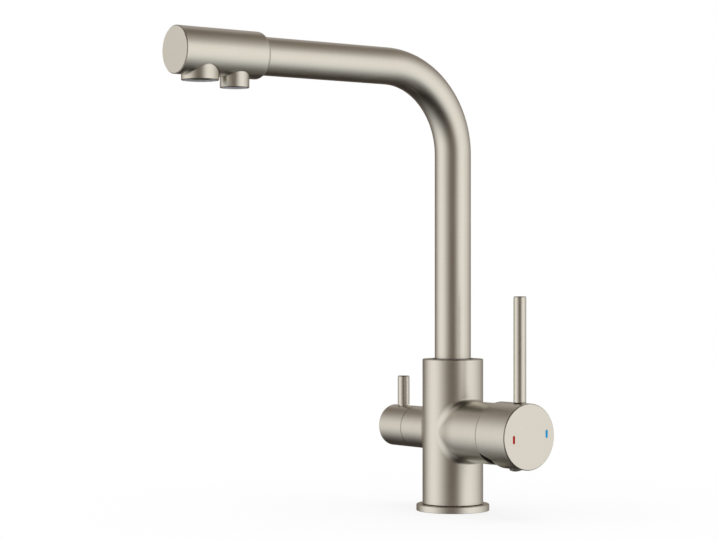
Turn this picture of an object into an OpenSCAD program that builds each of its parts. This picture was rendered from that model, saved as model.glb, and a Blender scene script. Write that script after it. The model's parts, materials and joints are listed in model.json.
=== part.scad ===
// Three-way kitchen tap for filtered drinking water.
// A square swivel spout carries two outlets, one for mixed hot and cold water and one for filtered water.
// The mixer lever is on the right side of the body and the filtered-water lever is on the left.
// Millimetres. The origin is the centre of the base on the worktop and +Z is up.
// The spout reaches along -Y, the mixer arm along +X and the filter arm along -X.

/* [Body] */
// Diameter of the upright body
body_d = 47; // [46.8:0.1:48]
// Height of the body's top above the worktop
body_top = 117.2; // [116:0.1:120]
// Diameter of the base ring
flange_d = 56.5; // [55:0.5:62]
// Height of the base ring
flange_h = 5; // [4:0.5:6]
// Height of both side arms' axis above the worktop
arm_z = 62; // [61:0.5:62]

/* [Spout] */
// Outside diameter of the spout tube
tube_d = 28; // [27.8:0.1:28.2]
// Wall of the spout tube
tube_wall = 1.5; // [1.4:0.1:1.6]
// Height of the spout's level run, at its axis
spout_z = 340; // [300:1:400]
// Radius of the spout's bend, at its axis
bend_r = 65; // [55:1:75]
// Reach of the mixed-water outlet from the body's axis
main_reach = 230; // [228:0.5:232]
// Reach of the filtered-water outlet from the body's axis
filter_reach = 201; // [200:0.5:202]

/* [Spout head] */
// Diameter of the spout head
head_d = 34.4; // [34:0.1:36]
// Reach of the head's end face from the body's axis
head_end = 251; // [250:0.5:256]
// Reach of the point where the head's rear rounding starts
head_rear = 183.3; // [182:0.1:184]
// Radius of the head's rear rounding
head_round = 4; // [3.6:0.1:4.4]
// Outside diameter of the mixed-water outlet
main_outlet_d = 27; // [26.6:0.1:27.4]
// Drop of the mixed-water outlet's rim below the spout's axis
main_drop = 20.5; // [20:0.1:21]
// Outside diameter of the filtered-water outlet
filter_outlet_d = 21.2; // [20.8:0.1:21.6]
// Drop of the filtered-water outlet's rim below the spout's axis
filter_drop = 24.3; // [24:0.1:25]

/* [Mixer] */
// Diameter of the mixer arm
mixer_arm_d = 46.6; // [46:0.1:46.7]
// Reach of the mixer arm's end
mixer_arm_end = 54.9; // [54.5:0.1:55.2]
// Diameter of the mixer handle
mixer_d = 49.7; // [49.2:0.1:51]
// Reach of the mixer handle's rear rim
mixer_rear = 57; // [56.9:0.1:57.2]
// Reach of the mixer handle's end face
mixer_end = 89.7; // [89:0.1:92]
// Diameter of the mixer lever
mixer_lever_d = 9.5; // [9:0.1:10]
// Reach of the mixer lever's axis
mixer_lever_x = 79; // [78:0.1:80]
// Height of the mixer lever's top
mixer_lever_top = 166; // [150:1:180]

/* [Filter side] */
// Diameter of the filter arm and its handle
filter_d = 32.6; // [32:0.1:34]
// Reach of the filter arm's end
filter_arm_end = 44.8; // [44.6:0.1:45]
// Reach of the filter handle's rear rim
filter_rear = 45.2; // [45.1:0.1:45.4]
// Reach of the filter handle's end face
filter_end = 74; // [73:0.1:76]
// Diameter of the filter lever
filter_lever_d = 9.4; // [9:0.1:10]
// Reach of the filter lever's axis
filter_lever_x = 62.3; // [62:0.1:63]
// Height of the filter lever's top
filter_lever_top = 101.7; // [96:0.1:120]

/* [Inlets] */
// Radius of the three hose threads, nominal M10
inlet_r = 5; // [4.9:0.05:5.1]
// Depth of the hose threads
inlet_depth = 12; // [10:1:14]
// Radius of the fixing stud's thread, nominal M8
stud_r = 4; // [3.9:0.05:4.1]
// Depth of the fixing stud's thread
stud_depth = 14; // [12:1:18]

/* [Hidden] */
$fn = 96;

// Finishes as the photograph shows them
NICKEL = [0.75, 0.72, 0.67];
BRASS = [0.80, 0.66, 0.36];
RUBBER = [0.10, 0.10, 0.10];
ACETAL = [0.92, 0.92, 0.90];
GREY_PLASTIC = [0.72, 0.72, 0.74];
DARK_PLASTIC = [0.16, 0.15, 0.14];
CERAMIC = [0.95, 0.94, 0.90];
STEEL = [0.62, 0.62, 0.62];
RED = [0.55, 0.08, 0.12];
BLUE = [0.10, 0.20, 0.55];

// Clearances: a running fit, a loose fit beside a moving piece and a close fit between fixed pieces
run_gap = 0.05;
loose_gap = 0.3;
seat_gap = 0.05;
// Play between a rubber ring and the floor of its groove
ring_gap = 0.03;
// Overlap that lets a cutter pass right through a face
cut = 0.5;

body_r = body_d / 2;
flange_r = flange_d / 2;
tube_r = tube_d / 2;
tube_bore_r = tube_r - tube_wall;
bend_start_z = spout_z - bend_r;
head_r = head_d / 2;
main_r = main_outlet_d / 2;
filter_outlet_r = filter_outlet_d / 2;
arm_r = mixer_arm_d / 2;
mixer_r = mixer_d / 2;
mixer_lever_r = mixer_lever_d / 2;
filter_r = filter_d / 2;
filter_lever_r = filter_lever_d / 2;

// Base: the body's spigot inside the base ring, the gasket's groove under the ring and the seal on top of it
spigot_r = 20.5;
gasket_in = 23;
gasket_out = 26;
gasket_h = 1.5;
seal_h = 0.65;
seal_inset = 0.7;
body_foot = flange_h + seal_h;
edge_chamfer = 0.6;

// Foot of both levers: the step down to the neck and the gap between the rod and the handle
neck_step = 0.9;
foot_gap = 0.4;

// Slight waist at the mixer arm's root: its radius, the reaches between which it swells out to the arm,
// the steepest slope on the way and the radius of the two arcs that make it
waist_r = 22;
waist = [8, 27.5];
waist_steps = 6;
waist_slope = 2 * atan((arm_r - waist_r) / (waist[1] - waist[0]));
waist_round = (waist[1] - waist[0]) / (2 * sin(waist_slope));

// Spout socket in the body's top and the swivel journal that turns in it
socket_floor = 84;
socket_r = tube_r + loose_gap;
journal_r = tube_r - 0.1;
journal_bottom = 85;
tube_bottom = 108;
journal_top = 116;
groove_r = 12.2;
bush_in = 12.9;
bush_r = socket_r - run_gap;
lower_bush = [85.8, 89.3];
upper_bush = [101.3, 105.3];
oring_z = [91.3, 94.5];
oring_groove = 2.4;
oring_section_r = 0.98;
lock_groove = [96.7, 100.3];
lock_z = (lock_groove[0] + lock_groove[1]) / 2;
lock_screw_r = 2.5;
wiper_r = tube_r + 1.6;
wiper_gap = 0.1;
wiper_seat = 1.4;
wiper_proud = 0.4;
journal_port_r = 2.4;
journal_port_pcr = 8.6;

// Filtered-water line up the middle of the spout
line_r = 4;
line_bore_r = 2.75;
line_bottom = 101.2;
line_end = filter_reach - 3.3;
nipple_r = line_r - loose_gap;
nipple_bore_r = 2;
nipple_bottom = 80.5;
nipple_top = 97;
nipple_oring_z = 93;
nipple_groove_half = 0.7;
nipple_groove_r = 2.7;
nipple_oring_section_r = 0.58;

// Spout head
head_wall_r = 13.2;
tube_end = head_rear + 6.4;
cap_depth = 0.8;
head_front = head_end - cap_depth;
cap_spigot = 5;
cap_groove = [head_front - 3.4, head_front - 1.4];
cap_groove_r = head_wall_r - 1.5;
cap_oring_section_r = 0.7;
rim_chamfer = 0.3;
boss_groove_w = 0.5;
boss_groove_depth = 0.7;

// Outlet inserts: each seat, the gasket under it and the housing that stands back from the rim
main_rim = spout_z - main_drop;
main_bore_r = 12;
main_seat = main_rim + 6.9;
main_gasket_h = 1.4;
filter_rim = spout_z - filter_drop;
filter_bore_r = 9;
filter_seat = filter_rim + 10.3;
filter_gasket_h = 1.5;
passage_h = 6;
passage_step = 1.5;
insert_wall = 1;
insert_set_back = 0.2;
screen_set_back = 1.3;
screen_h = 2;
elbow_leg_r = 5.5;

// Mixer cartridge, along the arm from its floor outwards
cart_floor = 21;
cart_r = 17.4;
cart_base = [21.5, 25];
seal_top = 22.2;
seal_width = 1.2;
fixed_disc = [25, 28.4];
moving_disc = [28.45, 32];
driver_plate = [32, 35.8];
driver_top = 42.5;
carrier_flange = [36.4, 39.2];
carrier_flange_gap = 0.4;
carrier_top = 54;
shell_shoulder = 39.6;
cart_top = 44;
cart_inner_r = 15.2;
nut_r = 20;
nut_set_back = 0.2;
nut_top = mixer_arm_end - nut_set_back;
carrier_r = 12;
moving_disc_r = 11;
pivot_x = 50;
pivot_pin_r = 1.5;
ball_x = 41;
ball_r = 3;
stem_r = 4;
stem_end = 80;
boss_half = 5;
slot_half = 5.3;
slot_low = -6.3;
slot_high = 9.2;
inlet_y = 7.5;
inlet_dz = 4.5;
mixed_dz = -7;
inlet_hole_r = 3;
mixed_hole_r = 3.8;
dome_r = 23.6;
dome_wall = 1.4;
dome_inset = 0.5;
dome_end = 61.5;

// Mixer handle: a thin skirt over the arm's end and a solid nose that holds the lever
skirt_r = arm_r + 0.4;
skirt_end = 67;
nose_start = 69.5;
nose_cavity_r = 20;
notch_top_rear = -12.4;
notch_top_front = -17.6;
notch_front = 66.9;
mixer_lever_seat = 8.5;
grub_x = 74;
grub_r = 2.5;
grub_length = 8;
plug_r = 4.4;
plug_proud = 1.8;
plug_depth = 1;
mark_h = 6.3;
mark_w = 2.1;
mark_depth = 0.4;
mark_gap = 0.02;
// Places of the marks on the end face, from the arm's axis along Y and Z
hot_place = [-15, -1.5];
cold_place = [17, 1.7];

// Filter valve, along its arm from the floor outwards
valve_floor = 14;
valve_r = 10;
valve_seal = [14, 16.5];
valve_fixed = [16.5, 19.5];
valve_moving = [19.55, 22.5];
valve_disc_r = 6;
valve_bore_r = valve_disc_r + 0.2;
valve_groove = [32, 34.2];
valve_groove_r = valve_r - 1.6;
valve_oring_section_r = 0.75;
valve_window = [23, 27];
valve_neck = 38;
valve_head = 47.5;
valve_head_r = 12.4;
filter_stem_end = 65;
filter_nose = 56;
filter_cavity_r = 13.6;
filter_lever_seat = 6.5;
filter_grub_x = 60;

// Water ways in the body
hot_cold_x = 7.7;
hot_cold_y = 8.6;
filter_inlet_x = 11.5;
way_r = 3.2;
mixed_way_x = 9;
mixed_way_r = 4;
filter_way_r = 2.2;
filter_way_z = 79;
riser_foot = [-24.5, 71.5];
window_ring = 1.2;

// Points along an arc from one angle to another
function arc(centre, r, from, to, steps = 5) =
    [for (i = [0:steps]) centre + r * [for (f = [0, 1]) f == 0 ? cos(from + (to - from) * i / steps)
                                                              : sin(from + (to - from) * i / steps)]];

// Cylinder along +Z between two heights
module upright(z0, z1, r) {
    translate([0, 0, z0]) cylinder(h = z1 - z0, r = r);
}

// Ring along +Z between two heights
module upright_ring(z0, z1, r_out, r_in) {
    difference() {
        upright(z0, z1, r_out);
        upright(z0 - cut, z1 + cut, r_in);
    }
}

// Places a shape that is turned about +Z on one of the side arms, with +Z pointing outwards
module on_mixer_arm() {
    translate([0, 0, arm_z]) rotate([0, 90, 0]) children();
}

module on_filter_arm() {
    translate([0, 0, arm_z]) rotate([0, -90, 0]) children();
}

// Places a shape that is turned about +Z on the spout's level run, with +Z pointing to the outlets
module on_spout() {
    translate([0, 0, spout_z]) rotate([90, 0, 0]) children();
}

// Solid of revolution from points of radius and height
module turned(points) {
    rotate_extrude() polygon(points);
}

// A line that rises from the body, bends and runs level to the head
module spout_line(r, bottom, end) {
    upright(bottom, bend_start_z, r);
    translate([0, -bend_r, bend_start_z]) rotate([0, 90, 0]) rotate([0, 0, 90])
        rotate_extrude(angle = 90) translate([bend_r, 0]) circle(r = r);
    on_spout() upright(bend_r, end, r);
}

// Rubber ring of round section about +Z, lying in a groove with the given floor
module oring(z, floor_r, section_r) {
    translate([0, 0, z]) rotate_extrude()
        translate([floor_r + section_r + ring_gap, 0]) circle(r = section_r, $fn = 32);
}

// Screw with a hexagon socket in its outer end, along +Z
module socket_screw(length, r) {
    socket_r = r * 0.55;
    socket_depth = r;
    difference() {
        cylinder(h = length, r = r);
        translate([0, 0, length - socket_depth]) cylinder(h = socket_depth + cut, r = socket_r, $fn = 6);
    }
}

// The places of the cartridge's hot, cold and mixed water holes about the arm's axis, as [y, z, radius]
function cartridge_ports() = [
    [-inlet_y, inlet_dz, inlet_hole_r],
    [inlet_y, inlet_dz, inlet_hole_r],
    [0, mixed_dz, mixed_hole_r]
];

// Cylinders through the cartridge's water holes, widened by grow
module cartridge_port_cutters(x0, x1, grow = 0) {
    for (port = cartridge_ports())
        translate([x0, port[0], arm_z + port[1]]) rotate([0, 90, 0])
            cylinder(h = x1 - x0, r = port[2] + grow);
}

// Outer form of the body before boring
module body_casting() {
    turned([
        [0, body_foot], [body_r, body_foot], [body_r, body_top - edge_chamfer],
        [body_r - edge_chamfer, body_top], [0, body_top]
    ]);
    upright(0, body_foot + cut, spigot_r);
    on_mixer_arm() turned(concat(
        [[0, 0], [waist_r, 0]],
        arc([waist_r + waist_round, waist[0]], waist_round, 180, 180 - waist_slope, waist_steps),
        arc([arm_r - waist_round, waist[1]], waist_round, waist_slope / waist_steps - waist_slope, 0,
            waist_steps - 1),
        [[arm_r, mixer_arm_end], [0, mixer_arm_end]]
    ));
    on_filter_arm() upright(0, filter_arm_end, filter_r);
}

// Hose threads, fixing thread and the water ways that join them to the valves and the spout
module water_ways() {
    upright(-cut, stud_depth, stud_r);
    for (side = [-1, 1]) {
        translate([hot_cold_x, side * hot_cold_y, 0]) {
            upright(-cut, inlet_depth, inlet_r);
            upright(0, arm_z + inlet_dz, way_r);
        }
        translate([hot_cold_x, side * inlet_y, arm_z + inlet_dz]) rotate([0, 90, 0])
            cylinder(h = cart_floor - hot_cold_x + cut, r = inlet_hole_r);
    }
    translate([-filter_inlet_x, 0, 0]) {
        upright(-cut, inlet_depth, inlet_r);
        upright(0, arm_z + way_r, way_r);
    }
    on_filter_arm() upright(filter_inlet_x, valve_floor + cut, way_r);
    on_filter_arm() upright(valve_window[0], valve_window[1], valve_r + window_ring);
    filter_riser();
    translate([mixed_way_x, 0, arm_z + mixed_dz]) {
        rotate([0, 90, 0]) cylinder(h = cart_floor - mixed_way_x + cut, r = mixed_hole_r);
        upright(-mixed_hole_r, socket_floor - arm_z - mixed_dz + cut, mixed_way_r);
    }
}

// Slanted riser from the filter valve, then a level way to the nipple at the socket's centre
module filter_riser() {
    riser_head = [-valve_floor, filter_way_z];
    run = riser_head - riser_foot;
    translate([riser_foot[0], 0, riser_foot[1]]) rotate([0, atan2(run[0], run[1]), 0])
        cylinder(h = norm(run), r = filter_way_r);
    translate([riser_head[0] - filter_way_r, 0, filter_way_z]) rotate([0, 90, 0])
        cylinder(h = valve_floor + 2 * filter_way_r, r = filter_way_r);
    upright(filter_way_z, nipple_bottom + cut, filter_way_r);
}

module body() {
    color(NICKEL) difference() {
        body_casting();
        upright(socket_floor, body_top + cut, socket_r);
        upright(body_top - wiper_seat, body_top + cut, wiper_r);
        upright(nipple_bottom, socket_floor + cut, nipple_r);
        on_mixer_arm() upright(cart_floor, cart_top + cut, cart_r + seat_gap);
        on_mixer_arm() upright(cart_top, mixer_arm_end + cut, nut_r);
        on_filter_arm() upright(valve_floor, filter_arm_end + cut, valve_r);
        translate([0, socket_r - 1, lock_z]) rotate([-90, 0, 0]) cylinder(h = body_r, r = lock_screw_r);
        water_ways();
    }
}

module base_flange() {
    top_round = 0.7;
    foot_round = 0.3;
    color(NICKEL) difference() {
        turned(concat(
            [[spigot_r + seat_gap, 0]],
            arc([flange_r - foot_round, foot_round], foot_round, -90, 0),
            arc([flange_r - top_round, flange_h - top_round], top_round, 0, 90),
            [[spigot_r + seat_gap, flange_h]]
        ));
        upright_ring(-cut, gasket_h, gasket_out + seat_gap, gasket_in - seat_gap);
    }
}

module base_gasket() {
    color(RUBBER) upright_ring(0, gasket_h, gasket_out, gasket_in);
}

// Flat seal between the base ring and the body, which shows as a dark line
module body_seal() {
    color(RUBBER) upright_ring(flange_h, body_foot, body_r - seal_inset, spigot_r + seat_gap);
}

module cartridge_base() {
    color(GREY_PLASTIC) difference() {
        on_mixer_arm() upright(cart_base[0], cart_base[1], cart_r);
        cartridge_port_cutters(cart_base[0] - cut, cart_base[1] + cut);
        cartridge_port_cutters(cart_base[0] - cut, seal_top, seal_width);
    }
}

module cartridge_seals() {
    color(RUBBER) difference() {
        cartridge_port_cutters(cart_floor, seal_top, seal_width - seat_gap);
        cartridge_port_cutters(cart_floor - cut, seal_top + cut);
    }
}

module cartridge_fixed_disc() {
    color(CERAMIC) difference() {
        on_mixer_arm() upright(fixed_disc[0], fixed_disc[1], cart_inner_r - seat_gap);
        cartridge_port_cutters(fixed_disc[0] - cut, fixed_disc[1] + cut);
    }
}

module cartridge_shell() {
    color(GREY_PLASTIC) on_mixer_arm() turned([
        [cart_inner_r, cart_base[1]], [cart_r, cart_base[1]], [cart_r, cart_top],
        [carrier_r + run_gap, cart_top], [carrier_r + run_gap, shell_shoulder],
        [cart_inner_r, shell_shoulder]
    ]);
}

// Threaded ring that clamps the cartridge, with four slots for a spanner
module cartridge_nut() {
    slot_w = 4;
    slot_depth = 3;
    color(BRASS) difference() {
        on_mixer_arm() upright_ring(cart_top, nut_top, nut_r - seat_gap, carrier_r + 2 * loose_gap);
        for (turn = [0:90:270])
            on_mixer_arm() rotate([0, 0, turn])
                translate([0, -slot_w / 2, nut_top - slot_depth])
                    cube([nut_r + cut, slot_w, slot_depth + cut]);
    }
}

// Dark dome on the arm's end: a band of a sphere about the lever's pivot
module cartridge_dome() {
    dome_base = [mixer_arm_end, mixer_rear];
    base_r = arm_r - dome_inset;
    inner_r = dome_r - dome_wall;
    function band(r, x) = sqrt(r * r - (x - pivot_x) * (x - pivot_x));
    function band_angle(r, x) = asin((x - pivot_x) / r);
    color(DARK_PLASTIC) on_mixer_arm() turned(concat(
        [[band(inner_r, dome_base[1]), dome_base[0]], [base_r, dome_base[0]], [base_r, dome_base[1]]],
        arc([0, pivot_x], dome_r, band_angle(dome_r, dome_base[1]), band_angle(dome_r, dome_end)),
        arc([0, pivot_x], inner_r, band_angle(inner_r, dome_end), band_angle(inner_r, dome_base[1]))
    ));
}

// Turning part of the cartridge: it sets the temperature and carries the lever's pivot
module cartridge_carrier() {
    flange_edge_r = cart_inner_r - carrier_flange_gap;
    color(GREY_PLASTIC) difference() {
        on_mixer_arm() turned([
            [0, carrier_flange[0]], [flange_edge_r, carrier_flange[0]],
            [flange_edge_r, carrier_flange[1]], [carrier_r, carrier_flange[1]],
            [carrier_r, carrier_top], [0, carrier_top]
        ]);
        translate([carrier_flange[0] - cut, -slot_half, arm_z + slot_low])
            cube([carrier_top - carrier_flange[0] + 2 * cut, 2 * slot_half, slot_high - slot_low]);
        translate([pivot_x, -carrier_r, arm_z]) rotate([-90, 0, 0])
            cylinder(h = 2 * carrier_r, r = pivot_pin_r + seat_gap / 2);
    }
}

module lever_pivot_pin() {
    pin_half = 10.5;
    color(STEEL) translate([pivot_x, -pin_half, arm_z]) rotate([-90, 0, 0])
        cylinder(h = 2 * pin_half, r = pivot_pin_r);
}

// Stem from the ball that drives the disc, through the pivot, into the handle's nose
module cartridge_stem() {
    neck_r = 2;
    shoulder = 45;
    color(STEEL) difference() {
        union() {
            translate([ball_x, 0, arm_z]) sphere(r = ball_r);
            on_mixer_arm() upright(ball_x, shoulder + cut, neck_r);
            on_mixer_arm() upright(shoulder, stem_end, stem_r);
        }
        translate([pivot_x, -2 * stem_r, arm_z]) rotate([-90, 0, 0])
            cylinder(h = 4 * stem_r, r = pivot_pin_r + run_gap);
    }
}

// Sliding ceramic disc: its pocket joins the inlets to the mixed-water hole
module cartridge_moving_disc() {
    pocket_r = 9.3;
    pocket_top = 1.2;
    pocket_depth = 2;
    color(CERAMIC) difference() {
        on_mixer_arm() upright(moving_disc[0], moving_disc[1], moving_disc_r);
        difference() {
            on_mixer_arm() upright(moving_disc[0] - cut, moving_disc[0] + pocket_depth, pocket_r);
            translate([moving_disc[0] - 2 * cut, -moving_disc_r, arm_z + pocket_top])
                cube([pocket_depth + 4 * cut, 2 * moving_disc_r, moving_disc_r]);
        }
    }
}

// Plate behind the sliding disc, with the socket that the stem's ball moves
module cartridge_driver() {
    color(ACETAL) difference() {
        union() {
            on_mixer_arm() upright(driver_plate[0], driver_plate[1], moving_disc_r);
            translate([driver_plate[0], -boss_half, arm_z - boss_half])
                cube([driver_top - driver_plate[0], 2 * boss_half, 2 * boss_half]);
        }
        on_mixer_arm() upright(driver_plate[1] + 1, driver_top + cut, ball_r + loose_gap);
    }
}

// Pill shaped bar, drawn upright about the origin
module mark_outline(grow = 0) {
    r = mark_w / 2 + grow;
    half = (mark_h - mark_w) / 2;
    polygon(concat(arc([0, half], r, 0, 180, 8), arc([0, -half], r, 180, 360, 8)));
}

// A temperature mark set into the mixer handle's end face, or with grow the pocket for it
module face_mark(place, grow = 0) {
    translate([mixer_end - mark_depth, place[0], arm_z + place[1]]) rotate([90, 0, 90])
        linear_extrude(height = mark_depth + (grow > 0 ? cut : 0)) mark_outline(grow);
}

// Wedge cut from the bottom of the skirt, so that the handle can tilt down towards the arm
module skirt_notch() {
    rear = mixer_rear - cut;
    low = -mixer_r - cut;
    translate([0, mixer_d, arm_z]) rotate([90, 0, 0])
        linear_extrude(height = 2 * mixer_d) polygon([
            [rear, notch_top_rear], [notch_front, notch_top_front], [notch_front, low], [rear, low]
        ]);
}

module mixer_handle() {
    rear_round = 0.3;
    plug_seat = arm_z - mixer_r + plug_depth;
    color(NICKEL) difference() {
        on_mixer_arm() turned(concat(
            [[skirt_r, mixer_rear]],
            arc([mixer_r - rear_round, mixer_rear + rear_round], rear_round, -90, 0, 3),
            [[mixer_r, mixer_end - edge_chamfer], [mixer_r - edge_chamfer, mixer_end], [0, mixer_end],
             [0, nose_start], [nose_cavity_r, nose_start], [nose_cavity_r, skirt_end], [skirt_r, skirt_end]]
        ));
        skirt_notch();
        on_mixer_arm() upright(nose_start - cut, stem_end + loose_gap, stem_r + seat_gap);
        translate([mixer_lever_x, 0, 0]) lever_hole(mixer_r, mixer_lever_seat, mixer_lever_r);
        translate([grub_x, 0, 0]) upright(arm_z - mixer_d, arm_z, grub_r + seat_gap);
        translate([grub_x, 0, 0]) upright(arm_z - mixer_d, plug_seat, plug_r + seat_gap);
        for (place = [hot_place, cold_place]) face_mark(place, mark_gap);
    }
}

// Straight lever rod with a bevelled top, on a neck that is set into a handle of the given radius
module lever_rod(handle_r, seat, top, r) {
    neck_r = r - neck_step;
    bottom = arm_z + seat + 2 * seat_gap;
    foot = arm_z + handle_r + foot_gap;
    color(NICKEL) turned([
        [0, bottom], [neck_r, bottom], [neck_r, foot], [r, foot],
        [r, top - edge_chamfer], [r - edge_chamfer, top], [0, top]
    ]);
}

// Hole for a lever's neck in the top of a handle of the given radius
module lever_hole(handle_r, seat, lever_r) {
    upright(arm_z + seat, arm_z + handle_r + cut, lever_r - neck_step + seat_gap);
}

module mixer_lever() {
    translate([mixer_lever_x, 0, 0])
        lever_rod(mixer_r, mixer_lever_seat, mixer_lever_top, mixer_lever_r);
}

// Set screw under a handle that bears on its stem
module grub_screw() {
    translate([0, 0, arm_z - stem_r - seat_gap]) mirror([0, 0, 1]) socket_screw(grub_length, grub_r);
}

module mixer_grub_screw() {
    color(STEEL) translate([grub_x, 0, 0]) grub_screw();
}

module mixer_screw_plug() {
    head_low = arm_z - mixer_r - plug_proud;
    head_high = arm_z - mixer_r + plug_depth;
    cap_h = 1;
    cap_r = (plug_r * plug_r + cap_h * cap_h) / (2 * cap_h);
    pin_h = 3;
    color(DARK_PLASTIC) translate([grub_x, 0, 0]) union() {
        turned(concat(
            arc([0, head_low + cap_r], cap_r, -90, asin(plug_r / cap_r) - 90),
            [[plug_r, head_high], [0, head_high]]
        ));
        upright(head_high - cut, head_high + pin_h, grub_r - seat_gap);
    }
}

module hot_mark() {
    color(RED) face_mark(hot_place);
}

module cold_mark() {
    color(BLUE) face_mark(cold_place);
}

module filter_valve_body() {
    window_w = 6;
    window_inset = 0.5;
    color(BRASS) difference() {
        on_filter_arm() turned([
            [valve_bore_r, valve_seal[0]], [valve_r - seat_gap, valve_seal[0]],
            [valve_r - seat_gap, filter_arm_end], [valve_head_r, filter_arm_end],
            [valve_head_r, valve_head], [stem_r + run_gap, valve_head],
            [stem_r + run_gap, valve_neck], [valve_bore_r, valve_neck]
        ]);
        translate([-valve_window[1] + window_inset, -window_w / 2, arm_z - valve_r - cut])
            cube([valve_window[1] - valve_window[0] - 2 * window_inset, window_w, 2 * valve_r + 2 * cut]);
        on_filter_arm() upright_ring(valve_groove[0], valve_groove[1], valve_r + cut, valve_groove_r);
    }
}

module filter_valve_oring() {
    middle = (valve_groove[0] + valve_groove[1]) / 2;
    color(RUBBER) on_filter_arm() oring(middle, valve_groove_r, valve_oring_section_r);
}

// Two quarter openings through a ceramic disc of the filter valve
module disc_openings(x0, x1) {
    opening_r = 1.7;
    opening_pcr = 3.2;
    for (side = [-1, 1])
        on_filter_arm() translate([side * opening_pcr, 0, 0]) upright(x0 - cut, x1 + cut, opening_r);
}

module filter_fixed_disc() {
    color(CERAMIC) difference() {
        on_filter_arm() upright(valve_fixed[0], valve_fixed[1], valve_bore_r - seat_gap);
        disc_openings(valve_fixed[0], valve_fixed[1]);
    }
}

module filter_valve_seal() {
    seal_in = valve_disc_r - 1;
    color(RUBBER) on_filter_arm()
        upright_ring(valve_seal[0], valve_seal[1], valve_bore_r - seat_gap, seal_in);
}

// At rest the moving disc's openings stand a quarter turn away from the fixed disc's
module filter_moving_disc() {
    color(CERAMIC) difference() {
        on_filter_arm() upright(valve_moving[0], valve_moving[1], valve_disc_r);
        translate([0, 0, arm_z]) rotate([90, 0, 0]) translate([0, 0, -arm_z])
            disc_openings(valve_moving[0], valve_moving[1]);
    }
}

// Stem of the filter valve: a fork on the disc, a collar under the neck and a shaft into the handle
module filter_stem() {
    collar = [32, 37.7];
    collar_r = valve_disc_r - 0.2;
    fork_r = 2;
    color(BRASS) union() {
        on_filter_arm() upright(valve_moving[1], collar[0] + cut, fork_r);
        on_filter_arm() upright(collar[0], collar[1], collar_r);
        on_filter_arm() upright(collar[1] - cut, filter_stem_end, stem_r);
    }
}

module filter_handle() {
    color(NICKEL) difference() {
        on_filter_arm() turned([
            [filter_cavity_r, filter_rear], [filter_r - edge_chamfer / 2, filter_rear],
            [filter_r, filter_rear + edge_chamfer / 2], [filter_r, filter_end - edge_chamfer],
            [filter_r - edge_chamfer, filter_end], [0, filter_end], [0, filter_nose],
            [filter_cavity_r, filter_nose]
        ]);
        on_filter_arm() upright(filter_nose - cut, filter_stem_end + loose_gap, stem_r + seat_gap);
        translate([-filter_lever_x, 0, 0]) lever_hole(filter_r, filter_lever_seat, filter_lever_r);
        translate([-filter_grub_x, 0, 0]) upright(arm_z - filter_d, arm_z, grub_r + seat_gap);
    }
}

module filter_lever() {
    translate([-filter_lever_x, 0, 0])
        lever_rod(filter_r, filter_lever_seat, filter_lever_top, filter_lever_r);
}

module filter_grub_screw() {
    color(STEEL) translate([-filter_grub_x, 0, 0]) grub_screw();
}

// Fixed nipple in the socket's floor that feeds the filtered-water line
module filter_spigot() {
    groove = [nipple_oring_z - nipple_groove_half, nipple_oring_z + nipple_groove_half];
    color(BRASS) difference() {
        upright_ring(nipple_bottom, nipple_top, nipple_r - seat_gap, nipple_bore_r);
        upright_ring(groove[0], groove[1], line_r, nipple_groove_r);
    }
}

module spigot_oring() {
    color(RUBBER) oring(nipple_oring_z, nipple_groove_r, nipple_oring_section_r);
}

// Set screw in the back of the body that keeps the spout from lifting out
module spout_lock_screw() {
    tip_y = groove_r + loose_gap;
    tip_r = 1.4;
    shoulder_y = 15;
    outer_y = body_r - 0.8;
    color(STEEL) translate([0, 0, lock_z]) rotate([-90, 0, 0]) union() {
        upright(tip_y, shoulder_y + cut, tip_r);
        translate([0, 0, shoulder_y]) socket_screw(outer_y - shoulder_y, lock_screw_r - seat_gap);
    }
}

// Rubber ring in the socket's mouth that wipes the turning tube
module spout_wiper() {
    color(RUBBER) upright_ring(body_top - wiper_seat, body_top + wiper_proud, wiper_r - seat_gap,
                               tube_r + wiper_gap);
}

module spout_tube() {
    color(NICKEL) difference() {
        spout_line(tube_r, tube_bottom, tube_end);
        spout_line(tube_bore_r, tube_bottom - cut, tube_end + cut);
    }
}

// Brass journal brazed into the spout's foot: it swivels in the body and carries both water ways
module spout_journal() {
    grooves = [
        [lower_bush[0], lower_bush[1], bush_in], [upper_bush[0], upper_bush[1], bush_in],
        [oring_z[0] - oring_groove / 2, oring_z[0] + oring_groove / 2, groove_r],
        [oring_z[1] - oring_groove / 2, oring_z[1] + oring_groove / 2, groove_r],
        [lock_groove[0], lock_groove[1], groove_r]
    ];
    web = [99, 101];
    color(BRASS) difference() {
        union() {
            upright(journal_bottom, tube_bottom, journal_r);
            upright(tube_bottom - cut, journal_top, tube_bore_r - seat_gap);
        }
        for (groove = grooves) upright_ring(groove[0], groove[1], journal_r + cut, groove[2]);
        upright(journal_bottom - cut, web[0], line_r);
        upright(web[0] - cut, web[1] + cut, line_bore_r);
        upright(web[1], journal_top + cut, line_r + seat_gap);
        for (turn = [0:60:300])
            rotate([0, 0, turn]) translate([journal_port_pcr, 0, 0])
                upright(journal_bottom - cut, journal_top + cut, journal_port_r);
    }
}

module spout_bushes() {
    color(ACETAL) for (bush = [lower_bush, upper_bush])
        upright_ring(bush[0] + seat_gap, bush[1] - seat_gap, bush_r, bush_in + seat_gap);
}

module spout_orings() {
    color(RUBBER) for (z = oring_z) oring(z, groove_r, oring_section_r);
}

module filter_tube() {
    color(ACETAL) difference() {
        spout_line(line_r, line_bottom, line_end);
        spout_line(line_bore_r, line_bottom - cut, line_end + cut);
    }
}

// Cylinder under the spout head at a reach, from a low height up to the head's axis
module outlet_boss(reach, low, r) {
    translate([0, -reach, 0]) turned([
        [0, low], [r - rim_chamfer, low], [r, low + rim_chamfer], [r, spout_z], [0, spout_z]
    ]);
}

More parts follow.
